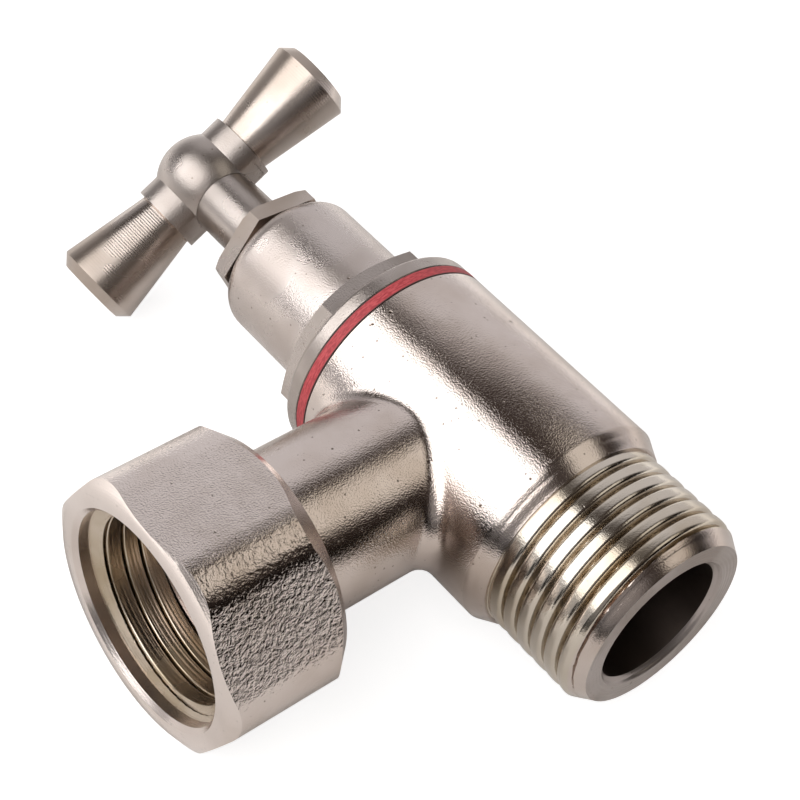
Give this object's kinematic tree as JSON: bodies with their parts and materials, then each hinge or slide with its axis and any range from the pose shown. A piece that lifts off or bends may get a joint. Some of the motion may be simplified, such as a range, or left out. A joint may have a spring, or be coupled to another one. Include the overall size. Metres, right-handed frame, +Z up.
{
  "type": "angle valve",
  "caption": "Plated brass angle valve with a threaded inlet spigot, a side outlet with a captive union nut, a gland-packed rising stem and a flared T handle.",
  "frame": {"origin": "centre of the inlet spigot at the shoulder where its thread ends", "axes": "+Y out of the inlet towards the wall, -Y along the stem to the handle, +X along the outlet, +Z up"},
  "size_m": [0.0541, 0.0754, 0.0255],
  "materials": {
    "cast_plating": "nickel-plated casting",
    "turned_plating": "nickel-plated, turned",
    "bare_brass": "turned",
    "fibre": "red vulcanised fibre",
    "packing": "graphited yarn",
    "seat_rubber": "moulded",
    "spring_wire": "drawn wire"
  },
  "bodies": {
    "valve": {"valve_body": "cast_plating", "bonnet_gasket": "fibre", "bonnet": "cast_plating", "packing_base_ring": "bare_brass", "gland_packing": "packing", "gland_nut": "turned_plating", "snap_ring": "spring_wire"},
    "disc": {"jumper": "bare_brass", "seat_washer": "seat_rubber", "washer_nut": "bare_brass"},
    "spindle": {"stem": "turned_plating", "handle": "turned_plating", "handle_screw": "turned_plating"},
    "union": {"union_nut": "cast_plating"}
  },
  "joints": [
    {"name": "jumper_lift", "type": "slide", "parent": "valve", "child": "disc", "axis": [0, -1, 0], "range_m": [0, 0.00375]},
    {"name": "handle_turn", "type": "hinge", "parent": "disc", "child": "spindle", "pos_m": [0, -0.0586, 0], "axis": [0, -1, 0], "range_deg": [0, 900]},
    {"name": "union_nut_spin", "type": "hinge", "parent": "valve", "child": "union", "pos_m": [0.031, -0.01479, -0.00051], "axis": [1, 0, 0], "continuous": true}
  ],
  "couplings": [
    {"joint": "handle_turn", "follows": "jumper_lift", "rad_per_m": 4188.8}
  ]
}
